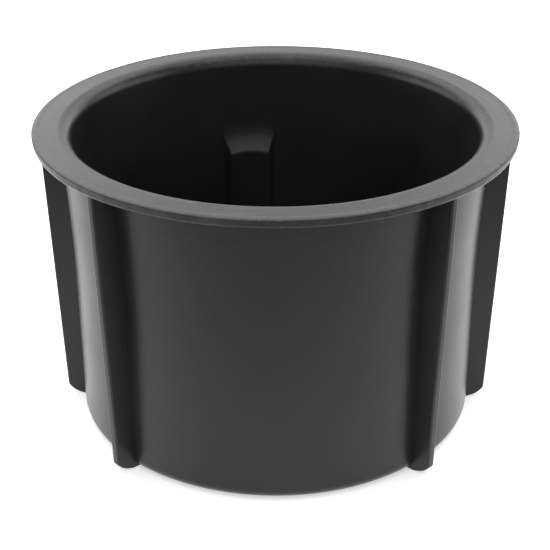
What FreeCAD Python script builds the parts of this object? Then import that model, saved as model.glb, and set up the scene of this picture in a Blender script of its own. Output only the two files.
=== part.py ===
import FreeCAD, Part
import math
import os

# Drop-in cup holder for a console: one moulded cup with a flange, outer ribs and an inner pad.
# Millimetres. The foot stands on z = 0, Z is the axis of the cup and the front faces -Y.
# Azimuths are degrees from the front, positive towards +X.

# Cup
rim_diameter = 96.5
height = 63.0
wall = 2.4
floor_thickness = 2.4
flare_start = 28.0          # height at which the wall begins to lean outwards
flare_reach = 1.4           # how far it leans out by the underside of the flange
foot_round = 2.5
inner_foot_bevel = 2.0

# Flange and mouth
flange_overhang = 6.65      # from the outside of the straight wall to the edge of the flange
flange_thickness = 1.9
rim_bevel_width = 0.9
rim_bevel_drop = 0.35
rim_taper = 0.35            # how far the edge of the flange slopes inwards below that bevel
rim_under_bevel = 0.35
flange_root_bevel = 0.6
mouth_round = 2.8           # rolled edge from the flange into the cup

# Ribs on the outside, in pairs left and right of the front
rib_pairs = 3
rib_pitch = 43.6            # degrees from the front to the first rib, and from rib to rib
rib_edge_width = 1.5
rib_root_width = 2.2
rib_foot_depth = 3.9        # how far a rib stands out of the wall at its foot
rib_foot_lift = 2.3         # height of the outer corner of that foot
rib_setback = 0.85          # how far a rib's top stays inside the edge of the flange
rib_edge_round = 0.35

# Pad on the inside of the far wall
pad_azimuth = 190.0
pad_depth = 1.7
pad_face_width = 8.8
pad_root_width = 11.8
pad_top = 44.6
pad_ramp_height = 3.6
pad_round = 0.45

# Worked out from the sizes above
rim_radius = rim_diameter / 2
body_radius = rim_radius - flange_overhang
inner_radius = body_radius - wall
flange_under = height - flange_thickness
flare_height = flange_under - flare_start
flare_radius = (flare_height ** 2 + flare_reach ** 2) / (2 * flare_reach)
flare_centre = FreeCAD.Vector(body_radius + flare_radius, 0, flare_start)
rib_top_radius = rim_radius - rib_setback
rib_foot_radius = body_radius + rib_foot_depth
pad_face_radius = inner_radius - pad_depth
up = FreeCAD.Vector(0, 0, 1)
down = FreeCAD.Vector(0, 0, -1)
outward = FreeCAD.Vector(1, 0, 0)


def point(radius, z):
    return FreeCAD.Vector(radius, 0, z)


def line(start, end):
    return Part.LineSegment(start, end).toShape()


def arc(start, middle, end):
    return Part.Arc(start, middle, end).toShape()


def path(points):
    """Straight edges from each point to the next."""
    return [line(start, end) for start, end in zip(points, points[1:])]


def rounding(centre, radius, first, last):
    """An arc about a centre, from one unit direction to another."""
    middle = (first + last).normalize()
    return arc(centre + first * radius, centre + middle * radius, centre + last * radius)


def flared(z, inside=0.0):
    """Radius of the flared wall at a height, a distance inside its outer face."""
    return flare_centre.x - math.sqrt((flare_radius + inside) ** 2 - (z - flare_start) ** 2)


def flare(z_end, inside=0.0):
    """The edge of the flared wall, from its start up to a height."""
    z_middle = (flare_start + z_end) / 2
    heights = (flare_start, z_middle, z_end)
    return arc(*[point(flared(z, inside), z) for z in heights])


def revolved(edges):
    face = Part.Face(Part.Wire(edges))
    return face.revolve(FreeCAD.Vector(0, 0, 0), FreeCAD.Vector(0, 0, 1), 360)


def outer_body():
    """The solid outside of the cup, with its flange, before it is hollowed."""
    foot_centre = point(body_radius - foot_round, foot_round)
    bevel_start = flange_under - flange_root_bevel
    edges = [
        line(point(0, 0), point(foot_centre.x, 0)),
        rounding(foot_centre, foot_round, down, outward),
        line(point(body_radius, foot_round), point(body_radius, flare_start)),
        flare(bevel_start),
    ]
    edges += path([
        point(flared(bevel_start), bevel_start),
        point(flared(flange_under) + flange_root_bevel, flange_under),
        point(rim_radius - rim_taper - rim_under_bevel, flange_under),
        point(rim_radius - rim_taper, flange_under + rim_under_bevel),
        point(rim_radius, height - rim_bevel_drop),
        point(rim_radius - rim_bevel_width, height),
        point(0, height),
        point(0, 0),
    ])
    return revolved(edges)


def cavity():
    """The space inside the cup, a constant wall inside the outer face and rolled over into the flange."""
    mouth_z = height - mouth_round
    mouth_centre = point(flared(mouth_z, wall - mouth_round), mouth_z)
    inward = (mouth_centre - flare_centre).normalize()
    wall_end = mouth_centre + inward * mouth_round
    edges = [
        flare(wall_end.z, wall),
        rounding(mouth_centre, mouth_round, inward, up),
    ]
    edges += path([
        point(mouth_centre.x, height),
        point(0, height),
        point(0, floor_thickness),
        point(inner_radius - inner_foot_bevel, floor_thickness),
        point(inner_radius, floor_thickness + inner_foot_bevel),
        point(inner_radius, flare_start),
    ])
    return revolved(edges)


def turned_to(shape, azimuth):
    """A shape modelled along +X, turned to an azimuth."""
    shape.rotate(FreeCAD.Vector(0, 0, 0), FreeCAD.Vector(0, 0, 1), azimuth - 90)
    return shape


def upright_prism(plan, z_low, z_high):
    """A plan outline at z = 0, raised between two heights."""
    face = Part.Face(plan)
    face.translate(FreeCAD.Vector(0, 0, z_low))
    return face.extrude(FreeCAD.Vector(0, 0, z_high - z_low))


def side_prism(profile, width):
    """A radius and height outline, given a width to both sides."""
    face = Part.Face(profile)
    face.translate(FreeCAD.Vector(0, -width / 2, 0))
    return face.extrude(FreeCAD.Vector(0, width, 0))


def rib():
    """One rib along +X: a side profile with a swept-up foot, in plan narrower towards its edge."""
    hidden_radius = body_radius - foot_round
    hidden_top = flange_under + flange_thickness / 2
    corner = point(rib_foot_radius, rib_foot_lift)
    sweep_radius = (rib_foot_depth ** 2 + rib_foot_lift ** 2) / (2 * rib_foot_lift)
    sweep_centre = point(body_radius, sweep_radius)
    to_corner = (corner - sweep_centre).normalize()
    profile = [
        line(point(hidden_radius, 0), point(body_radius, 0)),
        rounding(sweep_centre, sweep_radius, down, to_corner),
    ]
    profile += path([
        corner,
        point(rib_top_radius, flange_under),
        point(rib_top_radius, hidden_top),
        point(hidden_radius, hidden_top),
        point(hidden_radius, 0),
    ])
    taper = (rib_root_width - rib_edge_width) / (rib_top_radius - body_radius)
    half_edge = rib_edge_width / 2
    half_hidden = half_edge + taper * (rib_top_radius - hidden_radius) / 2
    plan = Part.makePolygon([
        FreeCAD.Vector(hidden_radius, -half_hidden, 0),
        FreeCAD.Vector(rib_top_radius, -half_edge, 0),
        FreeCAD.Vector(rib_top_radius, half_edge, 0),
        FreeCAD.Vector(hidden_radius, half_hidden, 0),
        FreeCAD.Vector(hidden_radius, -half_hidden, 0),
    ])
    blade = upright_prism(plan, 0, hidden_top).common(side_prism(Part.Wire(profile), 2 * rib_root_width))
    return blade.makeFillet(rib_edge_round, rib_long_edges(blade))


def rib_long_edges(blade):
    """The two upright edges of a rib's outer face."""
    found = []
    for edge in blade.Edges:
        middle = edge.CenterOfMass
        if edge.BoundBox.ZLength > height / 2 and middle.x > body_radius:
            found.append(edge)
    return found


def rib_azimuths():
    steps = range(1, rib_pairs + 1)
    return [side * step * rib_pitch for step in steps for side in (-1, 1)]


def pad():
    """The inner pad along +X: a raised strip with slanted sides, a face round the axis and a ramp on top."""
    hidden_radius = flared(pad_top, wall) + wall / 2
    side_slope = (pad_root_width - pad_face_width) / (2 * pad_depth)
    half_face = pad_face_width / 2
    half_hidden = half_face + side_slope * (hidden_radius - pad_face_radius)
    face_x = math.sqrt(pad_face_radius ** 2 - half_face ** 2)
    left = FreeCAD.Vector(face_x, -half_face, 0)
    right = FreeCAD.Vector(face_x, half_face, 0)
    hidden_left = FreeCAD.Vector(hidden_radius, -half_hidden, 0)
    hidden_right = FreeCAD.Vector(hidden_radius, half_hidden, 0)
    plan = Part.Wire([
        line(hidden_left, left),
        arc(left, FreeCAD.Vector(pad_face_radius, 0, 0), right),
        line(right, hidden_right),
        line(hidden_right, hidden_left),
    ])
    base = floor_thickness / 2
    ramp_slope = pad_ramp_height / pad_depth
    inside = pad_face_radius - pad_depth
    outside = hidden_radius + pad_depth
    ramp_foot = pad_top - ramp_slope * (flared(pad_top, wall) - inside)
    profile = Part.makePolygon([
        point(inside, base),
        point(outside, base),
        point(outside, pad_top),
        point(flared(pad_top, wall), pad_top),
        point(inside, ramp_foot),
        point(inside, base),
    ])
    strip = upright_prism(plan, base, pad_top).common(side_prism(profile, 2 * pad_root_width))
    return strip.makeFillet(pad_round, pad_front_edges(strip))


def pad_front_edges(strip):
    """The edges of the pad's face and ramp that stand out into the cup."""
    found = []
    for edge in strip.Edges:
        reaches_face = edge.BoundBox.XMin < pad_face_radius + pad_depth / 2
        if reaches_face and edge.BoundBox.ZMax > floor_thickness:
            found.append(edge)
    return found


def cup_insert():
    body = outer_body()
    ribs = [turned_to(rib(), azimuth) for azimuth in rib_azimuths()]
    body = body.fuse(ribs)
    body = body.cut(cavity())
    body = body.fuse(turned_to(pad(), pad_azimuth))
    return body.removeSplitter()


os.makedirs("parts", exist_ok=True)
insert = cup_insert()
print("cup_insert valid", insert.isValid(), "solids", len(insert.Solids))
insert.exportStep("parts/cup_insert.step")
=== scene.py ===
import math

import bmesh
import bpy
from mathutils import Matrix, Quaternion, Vector


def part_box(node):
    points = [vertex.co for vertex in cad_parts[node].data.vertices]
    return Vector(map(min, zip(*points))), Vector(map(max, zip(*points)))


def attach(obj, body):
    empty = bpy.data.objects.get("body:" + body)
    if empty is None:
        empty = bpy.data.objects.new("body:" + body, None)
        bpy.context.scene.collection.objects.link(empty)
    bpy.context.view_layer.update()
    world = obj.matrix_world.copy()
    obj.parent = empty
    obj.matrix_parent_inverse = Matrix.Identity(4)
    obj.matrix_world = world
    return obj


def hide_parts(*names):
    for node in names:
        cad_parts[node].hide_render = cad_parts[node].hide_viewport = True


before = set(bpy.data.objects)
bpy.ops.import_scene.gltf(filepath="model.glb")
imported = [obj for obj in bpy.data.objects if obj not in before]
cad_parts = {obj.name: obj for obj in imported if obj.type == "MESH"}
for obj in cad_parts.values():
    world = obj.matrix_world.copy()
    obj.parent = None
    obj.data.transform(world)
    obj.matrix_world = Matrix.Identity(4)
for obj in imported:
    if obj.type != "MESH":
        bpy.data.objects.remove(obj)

bpy.context.view_layer.update()
touch = 0.00005  # how near two places are that count as one, in metres


# Selecting and shaping by hand

def deselectAll():
    if bpy.context.mode != "OBJECT":
        bpy.ops.object.mode_set(mode="OBJECT")
    bpy.ops.object.select_all(action="DESELECT")


def editOnly(piece):
    deselectAll()
    piece.select_set(True)
    bpy.context.view_layer.objects.active = piece
    bpy.ops.object.mode_set(mode="EDIT")
    bpy.ops.mesh.select_all(action="DESELECT")


def mark(piece, kind, test):  # selects the verts, edges or faces that pass the test, and counts them
    bpy.ops.mesh.select_mode(type={"verts": "VERT", "edges": "EDGE", "faces": "FACE"}[kind])
    bpy.ops.mesh.select_all(action="DESELECT")
    mesh = bmesh.from_edit_mesh(piece.data)
    found = [part for part in getattr(mesh, kind) if test(part)]
    for part in found:
        part.select_set(True)
    mesh.select_flush_mode()
    bmesh.update_edit_mesh(piece.data)
    return len(found)


def middle(part):  # the middle of an edge or a face
    return sum((v.co for v in part.verts), Vector()) / len(part.verts)


def radiusOf(place):
    return math.hypot(place.x, place.y)


def azimuthOf(place):  # degrees from the front, positive towards +X
    return math.degrees(math.atan2(place.x, -place.y))


def drawTo(start, end):  # the next edge of a line, from the end that is selected
    bpy.ops.mesh.extrude_region_move(TRANSFORM_OT_translate={"value": Vector(end) - Vector(start)})


def turnAll(degrees):  # turns the whole piece about Z, towards +X from the front
    bpy.ops.mesh.select_all(action="SELECT")
    bpy.ops.transform.rotate(value=-math.radians(degrees), orient_axis="Z", center_override=(0, 0, 0))


def ovalPoints(centreR, centreZ, width, height, start, end, steps):  # points on an oval arc, angles in degrees above +X
    angles = [math.radians(start + (end - start) * i / steps) for i in range(steps + 1)]
    return [(centreR + width * math.cos(a), centreZ + height * math.sin(a)) for a in angles]


def arcPoints(centreR, centreZ, radius, start, end, steps):
    return ovalPoints(centreR, centreZ, radius, radius, start, end, steps)


# The cup

lowCorner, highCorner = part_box("cup_insert")
cup = {  # metres and degrees
    "rimRadius": min(highCorner.x, highCorner.y, -lowCorner.x, -lowCorner.y),
    "height": highCorner.z,
    "wallRadius": 0.0416,
    "wall": 0.0024,
    "floor": 0.0024,
    "flareStart": 0.028,
    "flareReach": 0.0014,
    "footRound": 0.0025,
    "innerFootRound": 0.0024,
    "flange": 0.0019,
    "rimRoundWidth": 0.0009,
    "rimRoundDrop": 0.00035,
    "rimTaper": 0.0001,
    "rimUnderRound": 0.0007,
    "flangeRootRound": 0.0008,
    "mouthRound": 0.0028,
    "columnWidth": 2.0,
}
ribs = {  # metres and degrees
    "azimuths": (-43.6, 43.6, 87.2, 130.8, 229.2, 272.8),
    "rootAngle": 3.0,
    "edgeWidth": 0.0015,
    "rootWidth": 0.0022,
    "footRadius": 0.0454,
    "footLift": 0.0023,
    "setback": 0.00085,
    "edgeRound": 0.00035,
}
pad = {  # metres and degrees
    "azimuth": 190.0,
    "depth": 0.0017,
    "faceWidth": 0.0088,
    "rootWidth": 0.0118,
    "top": 0.0446,
    "rampHeight": 0.0036,
    "edgeRound": 0.00045,
}
flangeUnder = cup["height"] - cup["flange"]
innerRadius = cup["wallRadius"] - cup["wall"]
flareHeight = flangeUnder - cup["flareStart"]
flareRadius = (flareHeight ** 2 + cup["flareReach"] ** 2) / (2 * cup["flareReach"])
flareCentre = cup["wallRadius"] + flareRadius
ribTop = cup["rimRadius"] - ribs["setback"]
padHalfAngle = math.degrees(pad["rootWidth"] / 2 / innerRadius)


def flared(z, inside=0.0):  # radius of the flared wall at a height
    if z <= cup["flareStart"]:
        return cup["wallRadius"] - inside
    return flareCentre - math.sqrt((flareRadius + inside) ** 2 - (z - cup["flareStart"]) ** 2)


def leanAt(r, z):  # angle of the line from a point to the flare's centre, in degrees
    return math.degrees(math.atan2(z - cup["flareStart"], flareCentre - r))


def levels(start, end, steps):
    return [start + (end - start) * i / steps for i in range(1, steps)]


def cupOutline():  # half of the cup's section, from the middle of the foot round to the middle of the floor
    c = cup
    foot = arcPoints(c["wallRadius"] - c["footRound"], c["footRound"], c["footRound"], -90, 0, 8)
    rootZ = flangeUnder - c["flangeRootRound"]
    rootR = flared(rootZ, -c["flangeRootRound"])
    root = arcPoints(rootR, rootZ, c["flangeRootRound"], 180 - leanAt(rootR, rootZ), 90, 5)
    underR, underZ = c["rimRadius"] - c["rimTaper"] - c["rimUnderRound"], flangeUnder + c["rimUnderRound"]
    under = arcPoints(underR, underZ, c["rimUnderRound"], -90, -6, 7)
    rimR, rimZ = c["rimRadius"] - c["rimRoundWidth"], c["height"] - c["rimRoundDrop"]
    rim = ovalPoints(rimR, rimZ, c["rimRoundWidth"], c["rimRoundDrop"], 0, 90, 8)
    mouthZ = c["height"] - c["mouthRound"]
    mouthR = flared(mouthZ, c["wall"] - c["mouthRound"])
    mouth = arcPoints(mouthR, mouthZ, c["mouthRound"], 90, 180 - leanAt(mouthR, mouthZ), 12)
    innerFootZ = c["floor"] + c["innerFootRound"]
    innerFoot = arcPoints(innerRadius - c["innerFootRound"], innerFootZ, c["innerFootRound"], 0, -90, 7)
    outerWall = levels(c["footRound"], c["flareStart"], 6) + [c["flareStart"]] + levels(c["flareStart"], root[0][1], 10)
    innerHigh = levels(mouth[-1][1], pad["top"], 4) + [pad["top"]] + levels(pad["top"], c["flareStart"], 2)
    innerWall = innerHigh + [c["flareStart"]] + levels(c["flareStart"], innerFootZ, 5)
    outline = [(0, 0), (foot[0][0] / 2, 0)] + foot
    outline += [(flared(z), z) for z in outerWall]
    outline += root + [(ribTop, flangeUnder)] + under + rim + mouth
    outline += [(flared(z, c["wall"]), z) for z in innerWall]
    outline += innerFoot + [(innerRadius / 2, c["floor"]), (0, c["floor"])]
    return [Vector((r, 0, z)) for r, z in outline]


def cupSectors():  # angles from the first rib's root round to it again, each a rib, a pad or the wall between
    cuts = []
    for azimuth in ribs["azimuths"]:
        cuts += [azimuth - ribs["rootAngle"] / 2, azimuth + ribs["rootAngle"] / 2]
    cuts += [pad["azimuth"] - padHalfAngle, pad["azimuth"] + padHalfAngle]
    cuts = sorted(cuts)
    return cuts, [b - a for a, b in zip(cuts, cuts[1:] + [cuts[0] + 360])]


def spinCup():  # the section drawn as one line, then spun sector by sector so that each rib has its own column
    deselectAll()
    bpy.ops.mesh.primitive_plane_add(size=0.001)
    piece = bpy.context.object
    piece.name = "cupMoulding"
    editOnly(piece)
    bpy.ops.mesh.select_all(action="SELECT")
    bpy.ops.mesh.merge(type="CENTER")
    outline = cupOutline()
    for start, end in zip(outline, outline[1:]):
        drawTo(start, end)
    cuts, sectors = cupSectors()
    bpy.ops.mesh.select_mode(type="EDGE")
    bpy.ops.mesh.select_all(action="SELECT")
    for angle in sectors:
        steps = max(1, round(angle / cup["columnWidth"])) if angle > ribs["rootAngle"] + 0.1 else 1
        bpy.ops.mesh.spin(steps=steps, angle=-math.radians(angle), center=(0, 0, 0), axis=(0, 0, 1))
    bpy.ops.mesh.select_all(action="SELECT")
    bpy.ops.mesh.remove_doubles(threshold=touch / 10)
    turnAll(cuts[0] - 90)
    return piece


def halfWidth(radius):  # half the width of a rib where its sides are this far from the axis
    taper = (ribs["rootWidth"] - ribs["edgeWidth"]) / (ribTop - cup["wallRadius"])
    return (ribs["edgeWidth"] + taper * (ribTop - radius)) / 2


def ribOutline():  # the outer edge of a rib, from the foot round of the cup up to the flange
    r = ribs
    depth = r["footRadius"] - cup["wallRadius"]
    sweepRadius = (depth ** 2 + r["footLift"] ** 2) / (2 * r["footLift"])
    sweep = math.degrees(math.atan2(depth, sweepRadius - r["footLift"]))
    foot = arcPoints(cup["wallRadius"], sweepRadius, sweepRadius, -90, sweep - 90, 6)
    tops = [r["footLift"]] + levels(r["footLift"], flangeUnder, 6) + [flangeUnder]
    slope = (ribTop - r["footRadius"]) / (flangeUnder - r["footLift"])
    edge = [(r["footRadius"] + slope * (z - r["footLift"]), z) for z in tops]
    return foot[:-1] + edge


def besideRib(part):  # whether a face of the outside lies in the column of the rib that is turned to the front
    place = middle(part)
    radius = radiusOf(place)
    inColumn = abs(azimuthOf(place)) < ribs["rootAngle"] / 2
    underFlange = place.z < flangeUnder + touch and radius < ribTop
    outside = radius > cup["wallRadius"] - 0.0002 or place.z < cup["footRound"] and radius > footInner
    return inColumn and underFlange and outside and place.z > touch / 5


def resizeAcross(factor):  # makes what is selected wider or narrower about the plane X = 0
    bpy.ops.transform.resize(value=(factor, 1, 1), center_override=(0, 0, 0))


def straightenColumn(piece):  # moves the long edges of an open column sideways, into the two flat sides of a rib
    pairs = {}
    for v in bmesh.from_edit_mesh(piece.data).verts:
        if v.is_boundary:
            pairs.setdefault((round(v.co.y / touch), round(v.co.z / touch)), []).append((v.index, abs(v.co.x)))
    bpy.ops.mesh.select_mode(type="VERT")
    for pair in pairs.values():
        bpy.ops.mesh.select_all(action="DESELECT")
        mesh = bmesh.from_edit_mesh(piece.data)
        mesh.verts.ensure_lookup_table()
        for index, wide in pair:
            mesh.verts[index].select_set(True)
        radius = radiusOf(mesh.verts[pair[0][0]].co)
        bmesh.update_edit_mesh(piece.data)
        resizeAcross(halfWidth(radius) / pair[0][1])


def ofOuterEdge(edge):  # whether an edge lies between a side of the rib in front and its outer face
    faces = sorted(edge.link_faces, key=lambda face: len(face.verts))
    besideFront = abs(azimuthOf(middle(edge))) < ribs["rootAngle"] and middle(edge).z > touch
    return besideFront and len(faces) == 2 and len(faces[1].verts) > 12 and abs(middle(faces[0]).x) < touch


def addRib(piece, azimuth):  # the column is cut out, its edge is drawn out along the rib's outline, and the sides are filled
    turnAll(-azimuth)
    mark(piece, "faces", besideRib)
    bpy.ops.mesh.delete(type="FACE")
    straightenColumn(piece)
    mark(piece, "edges", lambda edge: edge.is_boundary and middle(edge).z < touch and abs(middle(edge).x) < touch)
    flat = math.cos(math.radians(ribs["rootAngle"] / 2))
    outline = [(footInner, 0)] + ribOutline()
    for (radius, z), (nextRadius, nextZ) in zip(outline, outline[1:]):
        drawTo((0, -radius * flat, z), (0, -nextRadius * flat, nextZ))
        resizeAcross(halfWidth(nextRadius) / halfWidth(radius))
    bpy.ops.mesh.select_all(action="SELECT")
    bpy.ops.mesh.remove_doubles(threshold=touch / 5)
    for side in (-1, 1):
        mark(piece, "edges", lambda edge: edge.is_boundary and middle(edge).x * side > touch)
        bpy.ops.mesh.edge_face_add()
    mark(piece, "edges", ofOuterEdge)
    bpy.ops.mesh.bevel(offset=ribs["edgeRound"], segments=3, profile=0.5, affect="EDGES", clamp_overlap=False)
    turnAll(azimuth)


def isNewPad(v):  # whether a point belongs to the part of the wall that was drawn inwards
    inside = radiusOf(v.co) < innerRadius - pad["depth"] / 2
    return inside and abs(azimuthOf(v.co)) < padHalfAngle * 1.1 and touch < v.co.z - cup["floor"] and v.co.z < pad["top"] + touch


def addPad(piece):  # a stretch of the inner wall drawn inwards, narrowed, sloped at its top and taken down to the floor
    turnAll(-pad["azimuth"])
    faceRadius = innerRadius - pad["depth"]
    footStart = cup["floor"] + cup["innerFootRound"]

    def ofStretch(face):
        place = middle(face)
        inStretch = footStart < place.z < pad["top"] and abs(azimuthOf(place)) < padHalfAngle
        return inStretch and radiusOf(place) < innerRadius + cup["flareReach"] / 2

    mark(piece, "faces", ofStretch)
    bpy.ops.mesh.extrude_region_move(TRANSFORM_OT_translate={"value": (0, 0, 0)})
    scale = faceRadius / innerRadius
    bpy.ops.transform.resize(value=(scale, scale, 1), center_override=(0, 0, 0))
    rows = sorted({round(v.co.z / touch) for v in bmesh.from_edit_mesh(piece.data).verts if isNewPad(v)})
    for row in rows:
        mark(piece, "verts", lambda v: isNewPad(v) and round(v.co.z / touch) == row)
        mesh = bmesh.from_edit_mesh(piece.data)
        scale = faceRadius / max(radiusOf(v.co) for v in mesh.verts if v.select)
        bpy.ops.transform.resize(value=(scale, scale, 1), center_override=(0, 0, 0))
    mark(piece, "verts", isNewPad)
    resizeAcross(pad["faceWidth"] / 2 / (faceRadius * math.sin(math.radians(padHalfAngle))))
    mark(piece, "verts", lambda v: isNewPad(v) and v.co.z > pad["top"] - touch)
    bpy.ops.transform.translate(value=(0, 0, -pad["rampHeight"]))
    slope = pad["rampHeight"] / pad["depth"]

    def onRampFoot(v):
        return isNewPad(v) and abs(v.co.z - pad["top"] + pad["rampHeight"]) < touch

    mesh = bmesh.from_edit_mesh(piece.data)
    offsets = sorted({round(abs(v.co.x) / touch) for v in mesh.verts if v.select})
    for offset in offsets:  # the ramp is flat and the face is round, so their edge is an arch
        mark(piece, "verts", lambda v: onRampFoot(v) and round(abs(v.co.x) / touch) == offset)
        arch = faceRadius - math.sqrt(faceRadius ** 2 - (offset * touch) ** 2)
        bpy.ops.transform.translate(value=(0, 0, -slope * arch))
    mark(piece, "verts", lambda v: isNewPad(v) and v.co.z < footStart + touch)
    drop = math.sqrt(cup["innerFootRound"] ** 2 - (cup["innerFootRound"] - pad["depth"]) ** 2)
    bpy.ops.transform.translate(value=(0, 0, -drop))

    def ofPadEdge(edge):
        folded = len(edge.link_faces) == 2 and edge.calc_face_angle() > 0.3
        return folded and any(isNewPad(v) for v in edge.verts) and middle(edge).z > footStart

    mark(piece, "edges", ofPadEdge)
    bpy.ops.mesh.bevel(offset=pad["edgeRound"], segments=3, profile=0.5, affect="EDGES", clamp_overlap=False)
    turnAll(pad["azimuth"])


footInner = cup["wallRadius"] - cup["footRound"]
moulding = spinCup()
mesh = bmesh.from_edit_mesh(moulding.data)
print("spun cup", len(mesh.verts), "points,", len(mesh.faces), "faces")
for azimuth in ribs["azimuths"]:
    addRib(moulding, azimuth)
print("ribs", len(ribs["azimuths"]))
addPad(moulding)
bpy.ops.mesh.select_all(action="SELECT")
bpy.ops.mesh.normals_make_consistent(inside=False)
mesh = bmesh.from_edit_mesh(moulding.data)
print("open edges", sum(edge.is_boundary for edge in mesh.edges), "odd edges", sum(len(edge.link_faces) > 2 for edge in mesh.edges))
bpy.ops.object.mode_set(mode="OBJECT")
bpy.ops.object.shade_smooth_by_angle(angle=math.radians(35))
weighted = moulding.modifiers.new("weighted", "WEIGHTED_NORMAL")
weighted.keep_sharp = True
bpy.ops.object.modifier_apply(modifier="weighted")
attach(moulding, "root")
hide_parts("cup_insert")
print("cup moulding", len(moulding.data.vertices), "points")


# The finish

def newMaterial(name):
    material = bpy.data.materials.new(name)
    material.use_nodes = True
    return material, material.node_tree.nodes, material.node_tree.links


def addNode(nodes, kind, settings=(), values=()):  # a node with its settings and the values of its inputs
    node = nodes.new("ShaderNode" + kind)
    for name, value in settings:
        setattr(node, name, value)
    for name, value in values:
        node.inputs[name].default_value = value
    return node


def spread(nodes, links, source, low, high, start, end):  # a value between low and high taken to start and end
    values = (("From Min", low), ("From Max", high), ("To Min", start), ("To Max", end))
    node = addNode(nodes, "MapRange", values=values)
    links.new(source, node.inputs["Value"])
    return node.outputs["Result"]


def noise(nodes, links, place, stretch, scale, detail):  # noise over a place, stretched along its axes
    mapping = addNode(nodes, "Mapping", values=(("Scale", stretch),))
    node = addNode(nodes, "TexNoise", values=(("Scale", scale), ("Detail", detail), ("Roughness", 0.55)))
    links.new(place, mapping.inputs["Vector"])
    links.new(mapping.outputs["Vector"], node.inputs["Vector"])
    return node.outputs["Fac"]


def combine(nodes, links, operation, first, second):
    node = addNode(nodes, "Math", (("operation", operation),))
    for slot, source in enumerate((first, second)):
        if isinstance(source, (int, float)):
            node.inputs[slot].default_value = source
        else:
            links.new(source, node.inputs[slot])
    return node.outputs[0]


def blend(nodes, links, factor, first, second):  # one colour into another, either of them fixed or from a node
    node = addNode(nodes, "Mix", (("data_type", "RGBA"),))
    links.new(factor, node.inputs["Factor"])
    for name, source in (("A", first), ("B", second)):
        if isinstance(source, tuple):
            node.inputs[name].default_value = source
        else:
            links.new(source, node.inputs[name])
    return node.outputs["Result"]


finish = {  # colours as linear values, scales per metre, heights in metres
    "dark": (0.0102, 0.0102, 0.011, 1),
    "pale": (0.0175, 0.0175, 0.0185, 1),
    "dust": (0.055, 0.055, 0.054, 1),
    "roughness": (0.26, 0.36),
    "specular": 0.3,
    "cloudScale": 55,
    "grainScale": 1900,
    "grainHeight": 0.00004,
    "ringScale": 900,
    "speckScale": 1300,
    "wearDepth": 0.0022,
    "waverScale": 420,
    "waverHeight": 0.0003,
    "waverWidth": 0.0016,
}


def paintMoulding():  # black moulding compound: cloudy, finely grained, with rings, wear and dust on the flange
    f = finish
    material, nodes, links = newMaterial("satinMoulding")
    shader = nodes["Principled BSDF"]
    place = addNode(nodes, "TexCoord").outputs["Object"]
    split = addNode(nodes, "SeparateXYZ")
    links.new(place, split.inputs[0])
    x, y, z = split.outputs
    flat = addNode(nodes, "CombineXYZ")
    links.new(x, flat.inputs["X"])
    links.new(y, flat.inputs["Y"])
    reach = addNode(nodes, "VectorMath", (("operation", "LENGTH"),))
    links.new(flat.outputs[0], reach.inputs[0])
    radius = reach.outputs["Value"]
    turn = combine(nodes, links, "MULTIPLY", combine(nodes, links, "ARCTAN2", y, x), 0.045)
    ring = addNode(nodes, "CombineXYZ")  # distance from the axis and way round it, as a flat place
    links.new(radius, ring.inputs["X"])
    links.new(turn, ring.inputs["Y"])
    clouds = noise(nodes, links, place, (1, 1, 1), f["cloudScale"], 4)
    grain = noise(nodes, links, place, (1, 1, 1), f["grainScale"], 1)
    rings = noise(nodes, links, ring.outputs[0], (1, 0.12, 1), f["ringScale"], 4)
    onTop = spread(nodes, links, z, cup["height"] - f["wearDepth"], cup["height"] - f["wearDepth"] / 2, 0, 1)
    lines = combine(nodes, links, "MULTIPLY", spread(nodes, links, rings, 0.2, 0.8, 0, 0.2), onTop)
    tone = combine(nodes, links, "ADD", spread(nodes, links, clouds, 0.3, 0.7, 0.1, 0.8), lines)
    colour = blend(nodes, links, tone, f["dark"], f["pale"])
    specks = spread(nodes, links, noise(nodes, links, place, (1, 1, 1), f["speckScale"], 2), 0.6, 0.7, 0, 0.7)
    scuffs = spread(nodes, links, rings, 0.52, 0.7, 0, 0.5)
    wear = combine(nodes, links, "MULTIPLY", combine(nodes, links, "MAXIMUM", specks, scuffs), onTop)
    links.new(blend(nodes, links, wear, colour, f["dust"]), shader.inputs["Base Color"])
    low, high = f["roughness"]
    dull = spread(nodes, links, combine(nodes, links, "ADD", tone, wear), 0, 1, low, high)
    links.new(dull, shader.inputs["Roughness"])
    edge = spread(nodes, links, radius, cup["rimRadius"] - f["waverWidth"], cup["rimRadius"], 0, 1)
    waver = combine(nodes, links, "MULTIPLY", noise(nodes, links, ring.outputs[0], (1, 1, 1), f["waverScale"], 2), edge)
    ringed = combine(nodes, links, "MULTIPLY", combine(nodes, links, "MULTIPLY", rings, onTop), 1.6)
    height = combine(nodes, links, "ADD", grain, ringed)
    uneven = addNode(nodes, "Bump", values=(("Strength", 0.6), ("Distance", f["waverHeight"])))
    links.new(waver, uneven.inputs["Height"])
    grained = addNode(nodes, "Bump", values=(("Strength", 0.6), ("Distance", f["grainHeight"])))
    links.new(height, grained.inputs["Height"])
    links.new(uneven.outputs["Normal"], grained.inputs["Normal"])
    links.new(grained.outputs["Normal"], shader.inputs["Normal"])
    shader.inputs["Specular IOR Level"].default_value = f["specular"]
    return material


moulding.data.materials.clear()
moulding.data.materials.append(paintMoulding())
print("finish")


# The studio

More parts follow.
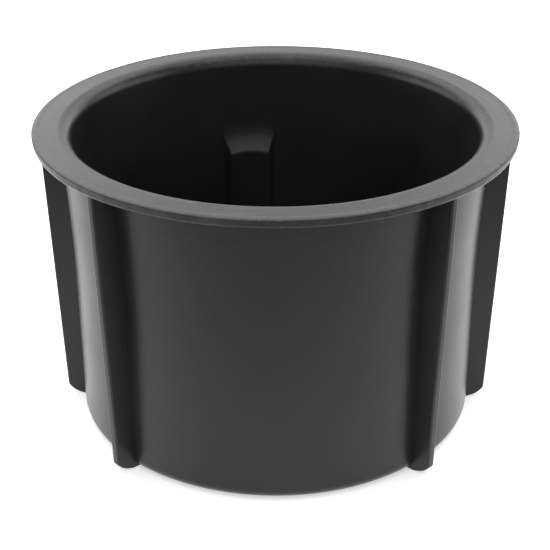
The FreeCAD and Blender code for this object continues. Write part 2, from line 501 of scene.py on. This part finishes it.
studio = {  # metres, degrees, and greys as linear values
    "cameraDistance": 0.2515,
    "cameraHeight": 0.1573,
    "cameraAzimuth": 1.0,
    "cameraPitch": 27.24,
    "cameraRoll": -0.08,
    "cameraShift": -0.0012,
    "lens": 87.4,
    "sensor": 36.0,
    "worldGrey": 0.31,
    "floorGrey": 0.88,
    "paintedShadeGrey": 0.27,
    "floorLift": 0.45,
    "floorDrop": 0.0001,
    "glow": 0.74,
    "glowNear": 0.05,
    "glowFar": 0.17,
}
panels = (  # name, place, target, size across and up, brightness of its surface
    ("backPanel", (0, 0.75, 0.42), (0, 0, 0.06), (1.5, 0.8), 1.14),
    ("backLeftPanel", (-0.25, 0.6, 0.3), (0, 0, 0.06), (0.28, 0.4), 0.7),
    ("backRightPanel", (0.25, 0.6, 0.3), (0, 0, 0.06), (0.28, 0.4), 0.7),
    ("frontPanel", (0, -0.65, 0.5), (0, 0, 0.06), (1.2, 0.55), 1.1),
    ("highPanel", (0, 0.42, 0.75), (0, 0, 0.06), (1.2, 0.55), 2.3),
    ("leftPanel", (-0.7, 0.12, 0.25), (0, 0, 0.06), (0.7, 0.5), 2.15),
    ("rightPanel", (0.7, 0.12, 0.25), (0, 0, 0.06), (0.7, 0.5), 2.1),
    ("topPanel", (0, -0.12, 0.9), (0, 0, 0.06), (0.9, 0.6), 2.2),
)


def placeCamera():
    s = studio
    camera = bpy.data.objects.new("camera", bpy.data.cameras.new("camera"))
    bpy.context.scene.collection.objects.link(camera)
    azimuth = math.radians(s["cameraAzimuth"])
    pitch = math.radians(s["cameraPitch"])
    camera.location = (s["cameraDistance"] * math.sin(azimuth), -s["cameraDistance"] * math.cos(azimuth), s["cameraHeight"])
    forward = Vector((-math.sin(azimuth) * math.cos(pitch), math.cos(azimuth) * math.cos(pitch), -math.sin(pitch)))
    roll = Quaternion((0, 0, 1), math.radians(s["cameraRoll"]))
    camera.rotation_mode = "QUATERNION"
    camera.rotation_quaternion = forward.to_track_quat("-Z", "Y") @ roll
    camera.data.lens = s["lens"]
    camera.data.sensor_width = s["sensor"]
    camera.data.shift_x = s["cameraShift"]
    camera.data.clip_start = 0.01
    bpy.context.scene.camera = camera


def addPanel(name, place, target, size, brightness):
    light = bpy.data.lights.new(name, "AREA")
    light.shape = "RECTANGLE"
    light.size, light.size_y = size
    light.energy = brightness * math.pi * size[0] * size[1]
    lamp = bpy.data.objects.new(name, light)
    bpy.context.scene.collection.objects.link(lamp)
    lamp.location = place
    lamp.rotation_euler = (Vector(target) - Vector(place)).to_track_quat("-Z", "Y").to_euler()
    lamp.visible_camera = False


def layFloor():  # pale paper, a little lighter for the camera, with painted shade and a painted reflection: darker in front of the cup for all other rays, and glowing near the cup for what mirrors in it
    deselectAll()
    bpy.ops.mesh.primitive_plane_add(size=6, location=(0, 0, -studio["floorDrop"]))
    floor = bpy.context.object
    floor.name = "floor"
    paint, nodes, links = newMaterial("floorPaper")
    s = studio
    paper = nodes["Principled BSDF"]
    paper.inputs["Roughness"].default_value = 0.9
    paper.inputs["Emission Color"].default_value = (1, 1, 1, 1)
    place = addNode(nodes, "TexCoord").outputs["Object"]
    split = addNode(nodes, "SeparateXYZ")
    links.new(place, split.inputs[0])
    distance = addNode(nodes, "VectorMath", (("operation", "LENGTH"),))
    links.new(place, distance.inputs[0])
    path = nodes.new("ShaderNodeLightPath")
    # painted shade: every ray but the camera's sees the floor in front of the cup darker, so the cup mirrors a darker
    # floor there and gets less bounce light from it
    near = spread(nodes, links, split.outputs["Y"], -s["glowFar"], -s["glowNear"], 0, 1)
    unshadedFloor = combine(nodes, links, "MAXIMUM", near, path.outputs["Is Camera Ray"])
    links.new(spread(nodes, links, unshadedFloor, 0, 1, s["paintedShadeGrey"], s["floorGrey"]), paper.inputs["Base Color"])
    # painted reflection: the floor near the cup glows for glossy rays only, so the foot and lower wall mirror a
    # brighter floor
    glow = spread(nodes, links, distance.outputs["Value"], s["glowNear"], s["glowFar"], s["glow"], 0)
    mirrored = combine(nodes, links, "MULTIPLY", glow, path.outputs["Is Glossy Ray"])
    seen = combine(nodes, links, "MULTIPLY", path.outputs["Is Camera Ray"], s["floorLift"])
    links.new(combine(nodes, links, "ADD", mirrored, seen), paper.inputs["Emission Strength"])
    floor.data.materials.append(paint)


def lightWorld():  # a dim room for the object, white for the camera
    world = bpy.data.worlds.new("studio")
    bpy.context.scene.world = world
    world.use_nodes = True
    nodes, links = world.node_tree.nodes, world.node_tree.links
    path = nodes.new("ShaderNodeLightPath")
    grey = spread(nodes, links, path.outputs["Is Camera Ray"], 0, 1, studio["worldGrey"], 1)
    links.new(grey, nodes["Background"].inputs["Color"])
    nodes["Background"].inputs["Strength"].default_value = 1.0


placeCamera()
layFloor()
lightWorld()
for panel in panels:
    addPanel(*panel)
bpy.context.scene.view_settings.view_transform = "Standard"
bpy.context.view_layer.update()
